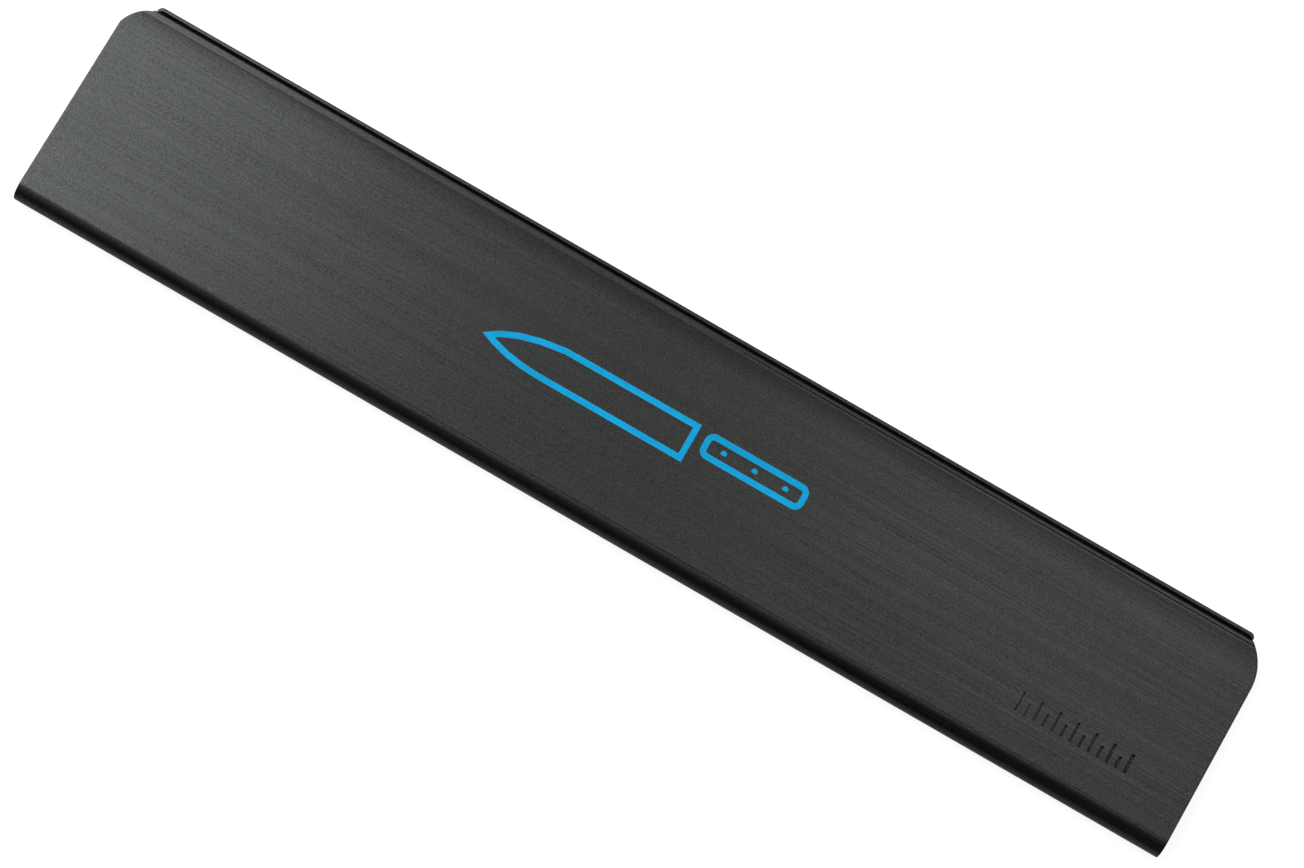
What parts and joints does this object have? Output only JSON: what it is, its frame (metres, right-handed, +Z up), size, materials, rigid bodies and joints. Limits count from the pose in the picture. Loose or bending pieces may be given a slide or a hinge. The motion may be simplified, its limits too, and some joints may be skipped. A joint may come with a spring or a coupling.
{
  "type": "knife blade guard",
  "caption": "Springy folded sheath that closes over a long kitchen knife's edge, with felt-lined leaves, rolled fold and stepped offset lips.",
  "frame": {"origin": "middle of the footprint, on the table that the guard lies on", "axes": "+X along the knife, towards the end with the longer punched corner; +Y from the rolled fold to the mouth; +Z up, out of the front leaf"},
  "size_m": [0.267, 0.0495, 0.0068],
  "materials": {
    "plastic": "satin, finely streaked along its length",
    "felt": "matt short-fibre felt",
    "ink": "printed ink"
  },
  "bodies": {
    "back_half": {"back_fold": "plastic", "back_leaf": "plastic", "back_felt": "felt"},
    "front_half": {"front_fold": "plastic", "front_leaf": "plastic", "front_felt": "felt"}
  },
  "joints": [
    {"name": "fold_spring", "type": "hinge", "parent": "back_half", "child": "front_half", "pos_m": [0, -0.0248, 0.0035], "axis": [1, 0, 0], "range_deg": [0, 12], "stiffness_Nm_per_rad": 1.2}
  ]
}
